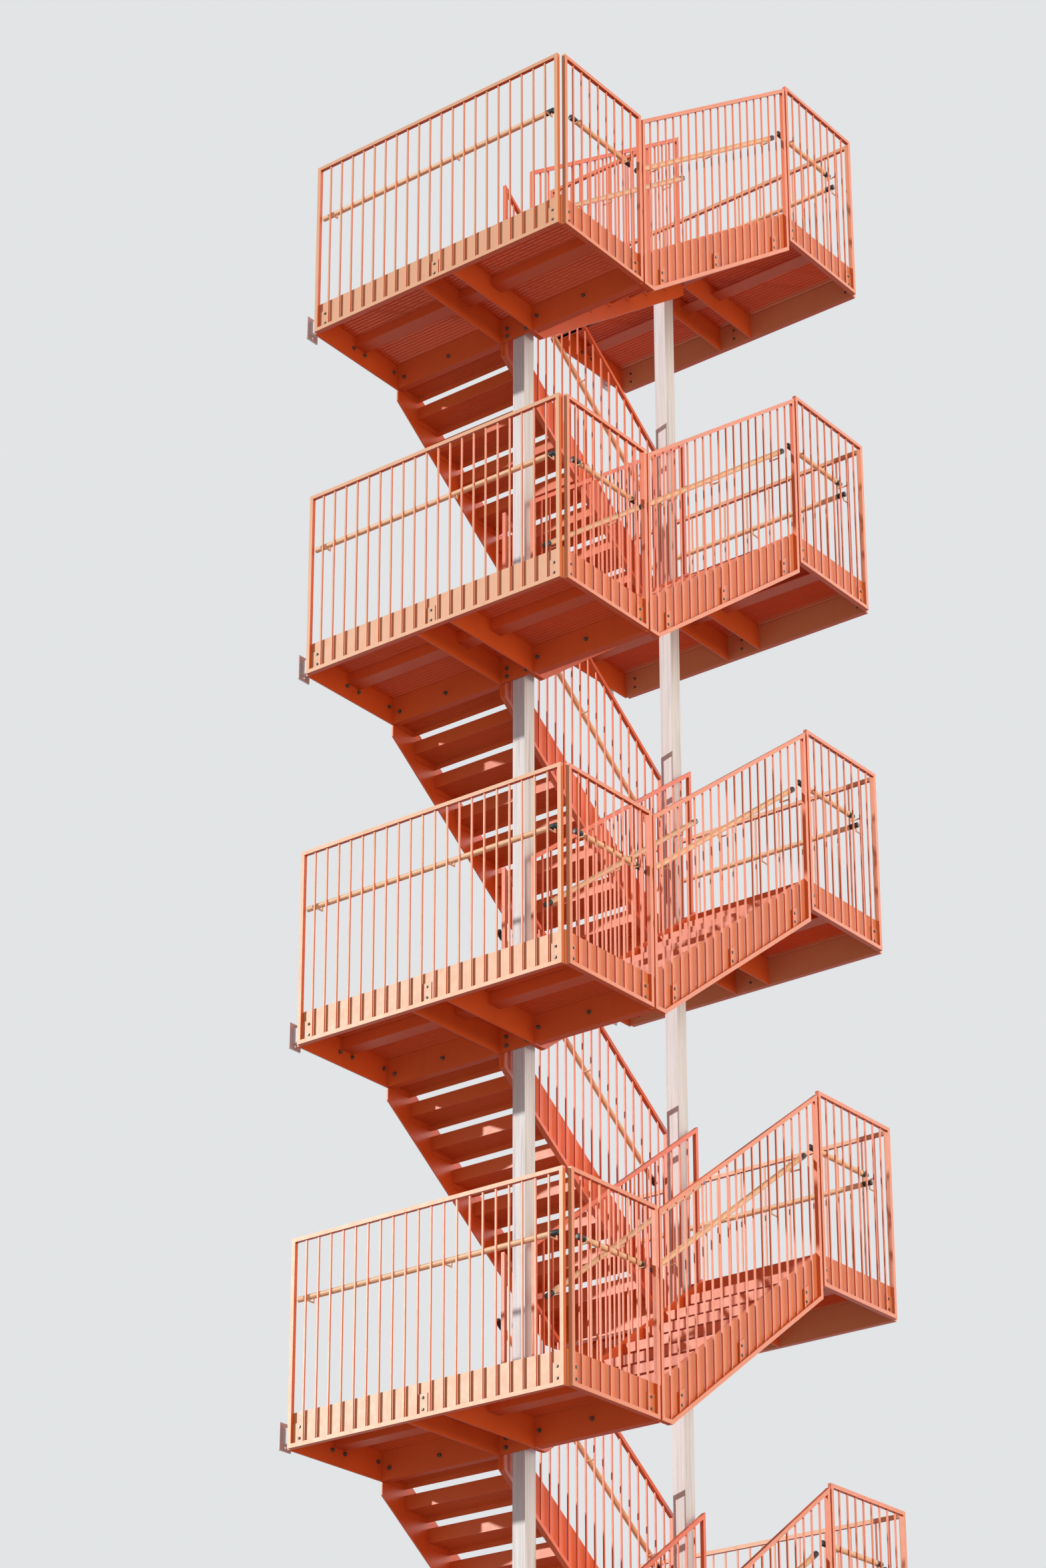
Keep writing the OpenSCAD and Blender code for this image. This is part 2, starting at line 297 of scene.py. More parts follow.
class NodeTree:
    """A thin hand on a shader tree: adds nodes and links by name."""

    def __init__(self, tree: bpy.types.NodeTree) -> None:
        """Keeps the tree."""
        self.tree = tree

    def feed(self, value: object, socket: Socket) -> None:
        """Links a socket to an input, or sets the input to a number or colour.

        Args:
            value: The socket, number or colour.
            socket: The input.
        """
        if isinstance(value, Socket):
            self.tree.links.new(value, socket)
        else:
            socket.default_value = value

    def add(self, kind: str, inputs: dict[object, object] | None = None, **values: object) -> bpy.types.Node:
        """Adds a node of a kind.

        Args:
            kind: The node's type, without its ShaderNode prefix.
            inputs: What feeds its inputs, by their name or number.
            **values: Attributes to set on it.

        Returns:
            The new node.
        """
        node = self.tree.nodes.new("ShaderNode" + kind)
        for key, value in values.items():
            setattr(node, key, value)
        for key, value in (inputs or {}).items():
            self.feed(value, node.inputs[key])
        return node

    def math(self, operation: str, *values: object, clamp: bool = False) -> Socket:
        """Adds a math node on numbers or sockets, which a clamp keeps from 0 to 1."""
        return self.add("Math", dict(enumerate(values)), operation=operation, use_clamp=clamp).outputs[0]

    def product(self, *values: object) -> Socket:
        """Multiplies two or more numbers or sockets, in order."""
        return reduce(lambda so_far, value: self.math("MULTIPLY", so_far, value), values)

    def ramp(self, source: Socket, low: float, high: float) -> Socket:
        """Maps a value from low to high onto 0 to 1, smoothly."""
        inputs = {"Value": source, "From Min": low, "From Max": high}
        return self.add("MapRange", inputs, interpolation_type="SMOOTHSTEP").outputs["Result"]

    def mix(self, factor: object, a: object, b: object) -> Socket:
        """Mixes two colours, by the share of the second."""
        return self.add("Mix", {0: factor, 6: a, 7: b}, data_type="RGBA").outputs[2]

    def noise(self, vector: Socket, scale: float, detail: float, rough: float) -> Socket:
        """Adds a noise texture of a scale, a number of octaves and a share of the finer ones."""
        inputs = {"Vector": vector, "Scale": scale, "Detail": detail, "Roughness": rough}
        return self.add("TexNoise", inputs).outputs["Fac"]


@dataclass(frozen=True)
class Viewpoint:
    """The photograph's camera, which meets the tall picture half by tilt and half by shift."""

    eye: Triple = (15.297, -19.688, 1.447)
    heading: float = 0.6599
    tilt: float = math.radians(22.4)
    roll: float = -0.00092
    lens_mm: float = 86.0306
    shift: Pair = (-0.00191, 0.17263)
    clip: Pair = (0.1, 400.0)

    def place(self) -> None:
        """Makes the camera and sets it as the scene's."""
        data = bpy.data.cameras.new("photograph")
        data.lens = self.lens_mm
        data.shift_x, data.shift_y = self.shift
        data.clip_start, data.clip_end = self.clip
        camera = show("photograph", data)
        camera.location = self.eye
        turn = Matrix.Rotation(self.heading, 3, "Z") @ Matrix.Rotation(math.pi / 2 + self.tilt, 3, "X")
        camera.rotation_euler = (turn @ Matrix.Rotation(self.roll, 3, "Z")).to_euler()
        bpy.context.scene.camera = camera


@dataclass(frozen=True)
class Lamp:
    """A far lamp: degrees from the front towards the right, degrees up, strength, width in degrees."""

    name: str
    around: float
    above: float
    strength: float
    width: float
    rgb: Rgb
    away: float = 30.0

    def place(self) -> None:
        """Adds the lamp, turned towards the stair."""
        data = bpy.data.lights.new(self.name, "SUN")
        data.energy = self.strength
        data.angle = math.radians(self.width)
        data.color = linear(self.rgb)[:3]
        around, above = math.radians(self.around), math.radians(self.above)
        level = math.cos(above)
        back = Vector((math.sin(around) * level, -math.cos(around) * level, math.sin(above)))
        lamp = show(self.name, data)
        lamp.rotation_euler = back.to_track_quat("Z", "Y").to_euler()
        lamp.location = back * self.away


@dataclass(frozen=True)
class Studio:
    """Pale floor, even world light and plain lamps."""

    floor_rgb: Rgb = (214, 213, 210)
    floor_rough: float = 0.9
    floor_half: float = 60.0
    world_rgb: Rgb = (226, 228, 230)
    light: Colour = (0.92, 0.94, 1.0, 1.0)
    light_strength: float = 0.28
    lamps: tuple[Lamp, ...] = (
        Lamp("key", -44.0, 19.0, 2.6, 1.6, (255, 248, 238)),
        Lamp("fill", 92.0, 8.0, 1.95, 45.0, (255, 232, 196)),
        Lamp("behind", 165.0, 24.0, 1.2, 40.0, (250, 250, 255)),
        Lamp("from_below", 60.0, -42.0, 0.30, 80.0, (255, 232, 206)),
    )

    def build(self) -> None:
        """Makes the floor, the world and the lamps."""
        self._floor()
        self._world()
        for lamp in self.lamps:
            lamp.place()

    def _floor(self) -> None:
        """Makes the pale floor, which isn't part of the stair."""
        bm = bmesh.new()
        bmesh.ops.create_grid(bm, x_segments=1, y_segments=1, size=self.floor_half)
        mesh = mesh_of(bm, "floor")
        floor = show("floor", mesh)
        material = bpy.data.materials.new("floor")
        material.use_nodes = True
        shader = material.node_tree.nodes["Principled BSDF"]
        shader.inputs["Base Color"].default_value = linear(self.floor_rgb)
        shader.inputs["Roughness"].default_value = self.floor_rough
        mesh.materials.append(material)

    def _world(self) -> None:
        """Makes a world that shows a pale background and lights evenly."""
        world = bpy.data.worlds.new("studio")
        bpy.context.scene.world = world
        world.use_nodes = True
        world.node_tree.nodes.clear()
        tree = NodeTree(world.node_tree)
        light = tree.add("Background", {"Color": self.light, "Strength": self.light_strength})
        shown = tree.add("Background", {"Color": linear(self.world_rgb), "Strength": 1.0})
        path = tree.add("LightPath")
        seen = tree.math("MAXIMUM", path.outputs["Is Camera Ray"], path.outputs["Is Glossy Ray"])
        mix = tree.add("MixShader", {0: seen, 1: light.outputs[0], 2: shown.outputs[0]})
        tree.add("OutputWorld", {"Surface": mix.outputs[0]})


class ShaderGroup(NodeTree):
    """A new shader group with named inputs and outputs."""

    def __init__(self, name: str, inputs: dict[str, object], outputs: tuple[str, ...]) -> None:
        """Makes the group's sockets.

        Args:
            name: The group's name.
            inputs: Defaults by name, each a colour or a number.
            outputs: Names, of which Color puts out a colour and the others a value.
        """
        super().__init__(bpy.data.node_groups.new(name, "ShaderNodeTree"))
        sockets = self.tree.interface
        for key, value in inputs.items():
            kind = "NodeSocketColor" if isinstance(value, tuple) else "NodeSocketFloat"
            socket = sockets.new_socket(name=key, in_out="INPUT", socket_type=kind)
            socket.default_value = value
        for key in outputs:
            kind = "NodeSocketColor" if key == "Color" else "NodeSocketFloat"
            sockets.new_socket(name=key, in_out="OUTPUT", socket_type=kind)
        self.given = self.tree.nodes.new("NodeGroupInput").outputs
        self.result = self.tree.nodes.new("NodeGroupOutput").inputs


class WeatheringAndPaintedLight:
    """Shader groups that the finishes share: dust on top faces, streaks, a tone that varies in patches,
    painted sunlight and bounce light on outer faces, and painted shade on faces turned down.

    Each pair of numbers is where an effect starts and where it is full: how squarely a face
    looks its way, or how far out it lies, in metres.
    """

    squarely: Pair = (0.3, 0.95)
    upwards: Pair = (0.5, 0.95)
    upright: Pair = (0.5, 0.1)
    # Painted shade: faces turned down get the darker shade colour.
    downwards: Pair = (-0.5, -0.95)
    # Painted light: front, rear and right faces near the outer edges get a pale colour for sunlight and
    # bounce light, and faces under the decks get a small share of it.
    front: Pair = (-1.02, -1.06)
    rear: Pair = (2.90, 2.95)
    right: Pair = (1.175, 1.19)
    painted_light_inside_share: float = 0.08
    painted_light_right_share: float = 0.42
    streak_scale: Triple = (26.0, 26.0, 0.9)

    def __init__(self) -> None:
        """Builds the groups once."""
        self.grime = self._grime()
        self.skin = self._skin()

    def _grime(self) -> bpy.types.NodeTree:
        """Builds the group that lays dust on top faces and runs streaks down walls.

        Returns:
            The group's tree.
        """
        colours = {"Color": (0.8, 0.8, 0.8, 1.0), "Dust Color": (0.35, 0.3, 0.26, 1.0)}
        tree = ShaderGroup("grime", {**colours, "Dust": 0.4, "Streak": 0.2}, ("Color", "Dirt"))
        place = tree.add("TexCoord").outputs["Object"]
        normal = tree.add("NewGeometry").outputs["Normal"]
        up = tree.add("SeparateXYZ", {0: normal}).outputs["Z"]
        patches = tree.ramp(tree.noise(place, 3.2, 6.0, 0.6), 0.35, 0.72)
        dust = tree.product(tree.ramp(up, *self.upwards), patches, tree.given["Dust"])
        stretched = tree.add("Mapping", {"Vector": place, "Scale": self.streak_scale}).outputs[0]
        run = tree.ramp(tree.noise(stretched, 1.0, 4.0, 0.6), 0.56, 0.78)
        wall = tree.ramp(tree.math("ABSOLUTE", up), *self.upright)
        streak = tree.product(run, wall, tree.given["Streak"])
        dirt = tree.math("MAXIMUM", dust, streak, clamp=True)
        tree.feed(tree.mix(dirt, tree.given["Color"], tree.given["Dust Color"]), tree.result["Color"])
        tree.feed(dirt, tree.result["Dirt"])
        return tree.tree

    def _skin(self) -> bpy.types.NodeTree:
        """Builds the group that mottles a coat, paints sunlight and bounce light on its outer faces, paints
        shade on the faces turned down, and gives it a sprayed skin.

        Returns:
            The group's tree.
        """
        greys = {"Color": 0.8, "Shade": 0.6, "Painted Light Color": 0.9}
        colours = {key: (grey, grey, grey, 1.0) for key, grey in greys.items()}
        outputs = ("Color", "Height", "Gloss")
        tree = ShaderGroup("coat_skin", {**colours, "Mottle": 0.3, "Fade": 0.5}, outputs)
        place = tree.add("TexCoord").outputs["Object"]
        normal = tree.add("NewGeometry").outputs["Normal"]
        spot = tree.add("SeparateXYZ", {0: place}).outputs
        facing = tree.add("SeparateXYZ", {0: normal}).outputs
        # Painted sunlight: faces turned to the front, near the front or rear outer edge, get the pale
        # painted-light colour; under the decks they get only a small share.
        ahead = tree.add("VectorMath", {0: normal, 1: AHEAD}, operation="DOT_PRODUCT").outputs["Value"]
        edge = tree.math("MAXIMUM", tree.ramp(spot["Y"], *self.front), tree.ramp(spot["Y"], *self.rear))
        painted_sun_reach = tree.math("MULTIPLY_ADD", edge, 1.0 - self.painted_light_inside_share, self.painted_light_inside_share)
        painted_sunlight = tree.product(tree.ramp(ahead, *self.squarely), painted_sun_reach)
        # Painted bounce light: faces turned right, at the right edge, get part of the same pale colour.
        outer = tree.product(
            tree.ramp(spot["X"], *self.right), tree.ramp(facing["X"], *self.squarely), self.painted_light_right_share
        )
        fade = tree.product(tree.math("MAXIMUM", painted_sunlight, outer), tree.given["Fade"])
        broad = tree.ramp(tree.noise(place, 0.9, 5.0, 0.62), 0.3, 0.7)
        patches = tree.product(broad, tree.given["Mottle"])
        # Painted shade: faces turned down take the darker shade colour, which random mottle patches share.
        under = tree.ramp(facing["Z"], *self.downwards)
        mottle_and_painted_shade = tree.math("MAXIMUM", patches, under, clamp=True)
        mottle_and_shade_colour = tree.mix(mottle_and_painted_shade, tree.given["Color"], tree.given["Shade"])
        # The painted light goes over the mottled colour with its painted shade.
        tree.feed(tree.mix(fade, mottle_and_shade_colour, tree.given["Painted Light Color"]), tree.result["Color"])
        tree.feed(tree.noise(place, 420.0, 2.0, 0.5), tree.result["Height"])
        tree.feed(tree.noise(place, 14.0, 4.0, 0.6), tree.result["Gloss"])
        return tree.tree


class Surface(NodeTree):
    """A new material: its shader, and the steps that the finishes share."""

    def __init__(self, name: str, weathering_and_light: WeatheringAndPaintedLight) -> None:
        """Starts the material.

        Args:
            name: Its name.
            weathering_and_light: The shared shader groups.
        """
        self.material = bpy.data.materials.new(name)
        self.material.use_nodes = True
        super().__init__(self.material.node_tree)
        self.shader = self.tree.nodes["Principled BSDF"].inputs
        self.weathering_and_light = weathering_and_light
        self.place = self.add("TexCoord").outputs["Object"]

    def soil(self, colour: Socket, rgb: Rgb, dust: float, streak: float) -> Socket:
        """Lays dust and streaks on a colour, and gives it to the shader.

        Args:
            colour: The clean colour.
            rgb: The dust's colour.
            dust: How much lies on top faces.
            streak: How much runs down walls.

        Returns:
            How dirty each place is.
        """
        inputs = {"Color": colour, "Dust Color": linear(rgb), "Dust": dust, "Streak": streak}
        grime = self.add("Group", inputs, node_tree=self.weathering_and_light.grime).outputs
        self.feed(grime["Color"], self.shader["Base Color"])
        return grime["Dirt"]

    def roughen(self, grain: Socket, spread: float, least: float, dirt: Socket, more: float) -> None:
        """Gives the shader a roughness that varies, and is higher on dirt.

        Args:
            grain: What it varies with.
            spread: How far it varies.
            least: The least it is.
            dirt: How dirty each place is.
            more: How much dirt adds.
        """
        clean = self.math("MULTIPLY_ADD", grain, spread, least)
        rough = self.math("ADD", clean, self.product(dirt, more), clamp=True)
        self.feed(rough, self.shader["Roughness"])

    def emboss(self, height: Socket, strength: float, distance: float) -> None:
        """Gives the shader a fine relief, its depth in metres."""
        inputs = {"Strength": strength, "Distance": distance, "Height": height}
        self.feed(self.add("Bump", inputs).outputs[0], self.shader["Normal"])


@dataclass(frozen=True)
class CoatFinish:
    """A sprayed coat on steel, with painted sunlight on its outer faces and painted shade on the faces turned
    down.
    """

    name: str
    rgb: Rgb
    # The darker colour of random mottle patches, and of the painted shade on faces turned down.
    mottle_and_painted_shade_rgb: Rgb
    # The pale colour of the painted sunlight and bounce light on outer faces.
    painted_light_rgb: Rgb
    dust_rgb: Rgb
    roughness: float
    # How strongly the painted light shows.
    fade: float
    mottle: float = 0.3
    dust: float = 0.4
    streak: float = 0.0
    coat: float = 0.0
    coat_rough: float = 0.35
    gloss_spread: float = 0.18
    dirt_rough: float = 0.4
    relief: Pair = (0.12, 0.0004)

    def build(self, weathering_and_light: WeatheringAndPaintedLight) -> bpy.types.Material:
        """Makes the material.

        Args:
            weathering_and_light: The shared shader groups.

        Returns:
            The material.
        """
        surface = Surface(self.name, weathering_and_light)
        colours = {"Color": self.rgb, "Shade": self.mottle_and_painted_shade_rgb, "Painted Light Color": self.painted_light_rgb}
        inputs = {key: linear(rgb) for key, rgb in colours.items()}
        inputs |= {"Mottle": self.mottle, "Fade": self.fade}
        skin = surface.add("Group", inputs, node_tree=weathering_and_light.skin).outputs
        dirt = surface.soil(skin["Color"], self.dust_rgb, self.dust, self.streak)
        least = self.roughness - self.gloss_spread / 2
        surface.roughen(skin["Gloss"], self.gloss_spread, least, dirt, self.dirt_rough)
        surface.emboss(skin["Height"], *self.relief)
        surface.shader["Coat Weight"].default_value = self.coat
        surface.shader["Coat Roughness"].default_value = self.coat_rough
        return surface.material


@dataclass(frozen=True)
class ZincFinish:
    """Hot dip zinc: pale grey, with faint upright runs and a fine spangle."""

    name: str = "zinc"
    rgb: Rgb = (215, 218, 224)
    dark_rgb: Rgb = (170, 167, 168)
    dust_rgb: Rgb = (120, 104, 92)
    dust: float = 0.5
    streak: float = 0.35
    metallic: float = 0.1
    least_rough: float = 0.56
    spangle_rough: float = 0.05
    dirt_rough: float = 0.35
    spangle_scale: float = 140.0
    spangle_tone: float = 0.07
    run_scale: Triple = (70.0, 70.0, 1.3)
    run_tone: float = 0.5
    relief: Pair = (0.03, 0.0003)

    def build(self, weathering_and_light: WeatheringAndPaintedLight) -> bpy.types.Material:
        """Makes the material.

        Args:
            weathering_and_light: The shared shader groups.

        Returns:
            The material.
        """
        surface = Surface(self.name, weathering_and_light)
        place = surface.place
        cells = surface.add("TexVoronoi", {"Vector": place, "Scale": self.spangle_scale}, feature="F1")
        tone = surface.add("SeparateColor", {0: cells.outputs["Color"]}).outputs
        stretched = surface.add("Mapping", {"Vector": place, "Scale": self.run_scale}).outputs[0]
        runs = surface.ramp(surface.noise(stretched, 1.0, 5.0, 0.6), 0.35, 0.75)
        mixed = surface.math("MULTIPLY_ADD", tone[0], self.spangle_tone, surface.product(runs, self.run_tone))
        colour = surface.mix(mixed, linear(self.rgb), linear(self.dark_rgb))
        dirt = surface.soil(colour, self.dust_rgb, self.dust, self.streak)
        surface.roughen(tone[1], self.spangle_rough, self.least_rough, dirt, self.dirt_rough)
        surface.emboss(tone[2], *self.relief)
        surface.shader["Metallic"].default_value = self.metallic
        return surface.material


@dataclass(frozen=True)
class FastenerFinish:
    """Dull zinc of bolts and nuts, darker than the columns."""

    name: str = "bolt_zinc"
    rgb: Rgb = (128, 124, 116)
    dark_rgb: Rgb = (84, 78, 70)
    dust_rgb: Rgb = (112, 84, 62)
    dust: float = 0.5
    streak: float = 0.3
    metallic: float = 0.6
    least_rough: float = 0.4
    patch_rough: float = 0.25

    def build(self, weathering_and_light: WeatheringAndPaintedLight) -> bpy.types.Material:
        """Makes the material.

        Args:
            weathering_and_light: The shared shader groups.

        Returns:
            The material.
        """
        surface = Surface(self.name, weathering_and_light)
        patches = surface.ramp(surface.noise(surface.place, 60.0, 4.0, 0.6), 0.35, 0.7)
        colour = surface.mix(patches, linear(self.rgb), linear(self.dark_rgb))
        surface.soil(colour, self.dust_rgb, self.dust, self.streak)
        rough = surface.math("MULTIPLY_ADD", patches, self.patch_rough, self.least_rough)
        surface.feed(rough, surface.shader["Roughness"])
        surface.shader["Metallic"].default_value = self.metallic
        return surface.material


# In each coat the second colour is the painted shade of faces turned down and the darker random mottle, and
# the third is painted sunlight and bounce light on outer faces.
PAINT = CoatFinish(
    name="salmon_coat",
    rgb=(232, 102, 40),
    mottle_and_painted_shade_rgb=(186, 68, 26),
    painted_light_rgb=(212, 162, 120),
    dust_rgb=(150, 100, 76),
    roughness=0.46,
    fade=0.85,
    streak=0.14,
    coat=0.2,
)
RAIL = CoatFinish(
    name="beige_coat",
    rgb=(240, 204, 166),
    mottle_and_painted_shade_rgb=(220, 168, 128),
    painted_light_rgb=(244, 222, 186),
    dust_rgb=(140, 112, 92),
    roughness=0.5,
    fade=0.7,
    mottle=0.4,
    streak=0.1,
    coat=0.1,
)
CAP = CoatFinish(
    name="dark_plastic",
    rgb=(34, 48, 50),
    mottle_and_painted_shade_rgb=(26, 36, 44),
    painted_light_rgb=(52, 66, 70),
    dust_rgb=(90, 88, 84),
    roughness=0.42,
    fade=0.4,
)


class Finishes:
    """Every material of the stair, by record slot."""

    def __init__(self) -> None:
        """Builds the materials."""
        weathering_and_light = WeatheringAndPaintedLight()
        self.paint = PAINT.build(weathering_and_light)
        self.zinc = ZincFinish().build(weathering_and_light)
        self.rail = RAIL.build(weathering_and_light)
        self.cap = CAP.build(weathering_and_light)
        self.bolt = FastenerFinish().build(weathering_and_light)
        self.by_slot = {Slot.PAINT: self.paint, Slot.ZINC: self.zinc, Slot.RAIL: self.rail}

    def dress_nodes(self) -> None:
        """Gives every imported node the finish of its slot."""
        slots = {s["node"]: Slot(s["material_slot"]) for s in frame["record"]["subparts"]}
        for name, node in frame["nodes"].items():
            node.data.materials.clear()
            node.data.materials.append(self.by_slot[slots[name]])


@dataclass
class Gather:
    """Collects many small shapes into one piece of the scene, with a finish."""

    name: str
    slot: Slot
    material: bpy.types.Material
    sharp_angle: float = math.radians(32.0)

    def __post_init__(self) -> None:
        """Starts the piece empty."""
        self.bm = bmesh.new()

    def field(self, low: Vector, high: Vector, steps: list[tuple[Vector, int]]) -> None:
        """Adds a block, copied along a list of steps, one after the other.

        Args:
            low: The first block's lowest corner.
            high: The first block's highest corner.
            steps: How far each copy stands from the last, and how many copies are added.
        """
        part = bmesh.new()
        add_block(part, (low + high) / 2, high - low)
        for step, times in steps:
            bmesh.ops.spin(
                part,
                geom=part.verts[:] + part.edges[:] + part.faces[:],
                cent=(0.0, 0.0, 0.0),
                axis=UP,
                dvec=step,
                angle=0.0,
                steps=times,
                use_duplicate=True,
            )
        mesh = mesh_of(part, "field")
        self.bm.from_mesh(mesh)
        bpy.data.meshes.remove(mesh)

    def put(self, shape: Mesh, place: Matrix) -> None:
        """Adds a copy of a shape.

        Args:
            shape: The shape.
            place: How it is turned and moved.
        """
        copy = shape.copy()
        copy.transform(place)
        self.bm.from_mesh(copy)
        bpy.data.meshes.remove(copy)

    def stamp(self, shape: Mesh, place: Triple, out: Triple, turn: float = 0.0) -> None:
        """Adds a copy of a shape that stands on the origin along +Z, aimed out and turned on itself."""
        aim = Vector(out).to_track_quat("Z", "Y").to_matrix().to_4x4()
        self.put(shape, Matrix.Translation(place) @ aim @ Matrix.Rotation(turn, 4, "Z"))

    def finish(self) -> Piece:
        """Makes the piece, dresses it and lets it ride on the stair.

        Returns:
            The piece.
        """
        mesh = mesh_of(self.bm, self.name)
        mesh.shade_smooth()
        mesh.set_sharp_from_angle(angle=self.sharp_angle)
        mesh.materials.append(self.material)
        piece = show(self.name, mesh)
        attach(piece, BODY)
        return piece


def lay_on_treads(
    piece: Gather, side: Side, low: Triple, high: Triple, across: list[tuple[Vector, int]], last: int
) -> None:
    """Copies a block onto the treads of every flight that starts on a side.

    Args:
        piece: The piece that it goes to.
        side: Which landings the flights climb from.
        low: The block's lowest corner, with y from a tread's nosing and z from its top.
        high: Its highest corner.
        across: Steps of its copies on one tread.
        last: The highest tread that has it, counted from 0.
    """
    low, high = Vector(low), Vector(high)
    storey = Vector((0.0, 0.0, PLAN.storey))
    if side is Side.FRONT:
        second = Vector((0.0, PLAN.flight_y + PLAN.going, PLAN.riser))
        climb = Vector((0.0, PLAN.going, PLAN.riser))
        piece.field(low + second, high + second, [*across, (climb, last - 1), (storey, PLAN.storeys)])
        first = Vector((0.0, PLAN.flight_y, PLAN.storey))
        piece.field(low + first, high + first, [*across, (storey, PLAN.storeys - 1)])
        return
    near = PLAN.place_y(side, PLAN.flight_y + high.y)
    far = PLAN.place_y(side, PLAN.flight_y + low.y)
    deck = PLAN.decks(side)[0]
    piece.field(
        Vector((low.x, near, deck + low.z)),
        Vector((high.x, far, deck + high.z)),
        [*across, (Vector((0.0, -PLAN.going, PLAN.riser)), last), (storey, PLAN.storeys - 1)],
    )


@dataclass(frozen=True)
class CrossRods:
    """Cross rods of the landings' and treads' gratings, pressed between the bearing bars."""

    finishes: Finishes
    pitch: float = 0.0111
    thick: float = 0.0026
    deck_deep: float = 0.0025
    tread_deep: float = 0.004
    sunk: float = 0.0006

    def build(self) -> list[Piece]:
        """Makes two pieces of rods for the decks and two for the treads."""
        return [self._decks(side) for side in Side] + [self._treads(side) for side in Side]

    def _row(self, left: float, right: float) -> tuple[Pair, tuple[Vector, int]]:
        """Spreads a grating's rods between its end bars.

        Args:
            left: Outer end of the grating.
            right: Its other end.

        Returns:
            The first rod's faces, and the step and number of its copies.
        """
        count = int((right - left - 2 * PLAN.bar) / self.pitch)
        first = (left + right - (count - 1) * self.pitch) / 2
        step = Vector((self.pitch, 0.0, 0.0))
        return (first - self.thick / 2, first + self.thick / 2), (step, count - 1)

    def _decks(self, side: Side) -> Piece:
        """Lays the rods of every deck on one side.

        Args:
            side: Which landings.

        Returns:
            The piece.
        """
        decks = PLAN.decks(side)
        rod, copies = self._row(PLAN.inner_x, PLAN.fascia_x - PLAN.plate)
        ends = sorted(
            PLAN.place_y(side, y)
            for y in (PLAN.fascia_y + PLAN.plate + PLAN.bar / 2, PLAN.header_y - PLAN.bar / 2)
        )
        top = decks[0] - self.sunk
        piece = Gather(side.landings + "_deck_rods", Slot.PAINT, self.finishes.paint)
        piece.field(
            Vector((rod[0], ends[0], top - self.deck_deep)),
            Vector((rod[1], ends[1], top)),
            [copies, (Vector((0.0, 0.0, PLAN.storey)), len(decks) - 1)],
        )
        return piece.finish()

    def _treads(self, side: Side) -> Piece:
        """Lays the rods of every tread that climbs from one side.

        Args:
            side: Which landings the flights climb from.

        Returns:
            The piece.
        """
        rod, copies = self._row(*PLAN.flight_ends(side))
        inset = PLAN.tread_plate / 2
        piece = Gather(side.flights + "_tread_rods", Slot.PAINT, self.finishes.paint)
        low = (rod[0], inset, -self.sunk - self.tread_deep)
        high = (rod[1], PLAN.tread_depth - inset, -self.sunk)
        lay_on_treads(piece, side, low, high, [copies], PLAN.treads - 1)
        return piece.finish()


@dataclass(frozen=True)
class ToePlates:
    """Upright plates behind the treads, up from the grating's underside."""

    finishes: Finishes
    over: float = 0.073

    def build(self) -> list[Piece]:
        """Makes the plates.

        Returns:
            A piece for the right flights and one for the left.
        """
        pieces = []
        for side in Side:
            plates = Gather(side.flights + "_toe_plates", Slot.PAINT, self.finishes.paint)
            left, right = PLAN.flight_ends(side)
            low = (left, PLAN.tread_depth, -PLAN.grating)
            high = (right, PLAN.tread_depth + PLAN.toe_gap, self.over)
            lay_on_treads(plates, side, low, high, [], PLAN.treads - 2)
            pieces.append(plates.finish())
        return pieces


@dataclass(frozen=True)
class BoltSize:
    """Sizes of a hexagon bolt, its washer and the threaded end past its nut."""

    across: float
    head: float
    washer_r: float
    washer_t: float
    shank_r: float
    stub: float


class Hardware:
    """Bolt heads and nuts, each standing on the origin along +Z."""

    chamfer: float = 0.07

    def __init__(self) -> None:
        """Makes the shapes once."""
        small = BoltSize(0.017, 0.0055, 0.012, 0.002, 0.005, 0.006)
        large = BoltSize(0.024, 0.013, 0.0165, 0.003, 0.008, 0.007)
        anchor = BoltSize(0.030, 0.016, 0.0185, 0.003, 0.010, 0.022)
        self.lug_head = self._fastener("lug_head", small, False)
        self.lug_nut = self._fastener("lug_nut", small, True)
        self.frame_head = self._fastener("frame_head", large, False)
        self.frame_nut = self._fastener("frame_nut", large, True)
        self.anchor_nut = self._fastener("anchor_nut", anchor, True)

    def _fastener(self, name: str, size: BoltSize, nut: bool) -> Mesh:
        """Makes a washer with a bolt head or a nut on it.

        Args:
            name: The shape's name.
            size: Its sizes.
            nut: Whether a threaded end stands out of it.

        Returns:
            The shape.
        """
        bm = bmesh.new()
        add_prism(bm, 16, (size.washer_r, size.washer_r), 0.0, size.washer_t)
        corner = size.across / 2 / math.cos(math.pi / 6)
        add_prism(bm, 6, (corner, corner), size.washer_t, size.head)
        bevel_above(bm, size.washer_t + size.head / 2, size.across * self.chamfer, 1)
        if nut:
            sunk = 0.001
            top = size.washer_t + size.head
            add_prism(bm, 10, (size.shank_r, size.shank_r), top - sunk, size.stub + sunk)
        return mesh_of(bm, name)


class BoltRun(Gather):
    """A piece of fasteners, each turned a little differently."""

    def __init__(self, name: str, finishes: Finishes, seed: int) -> None:
        """Starts the piece.

        Args:
            name: Its name.
            finishes: The stair's materials.
            seed: Seed of the turns.
        """
        super().__init__(name, Slot.ZINC, finishes.bolt)
        self.turns = random.Random(seed)

    def add(self, shape: Mesh, side: Side, place: Triple, out: Triple) -> None:
        """Adds a fastener, placed as on a front landing.

        Args:
            shape: The fastener.
            side: Which side it is for, the rear one mirrored.
            place: Where its foot goes, as at the front.
            out: Which way it points, as at the front.
        """
        x, y, z = place
        way = (out[0], out[1] * side.value, out[2])
        self.stamp(shape, (x, PLAN.place_y(side, y), z), way, self.turns.uniform(0.0, math.tau / 6))


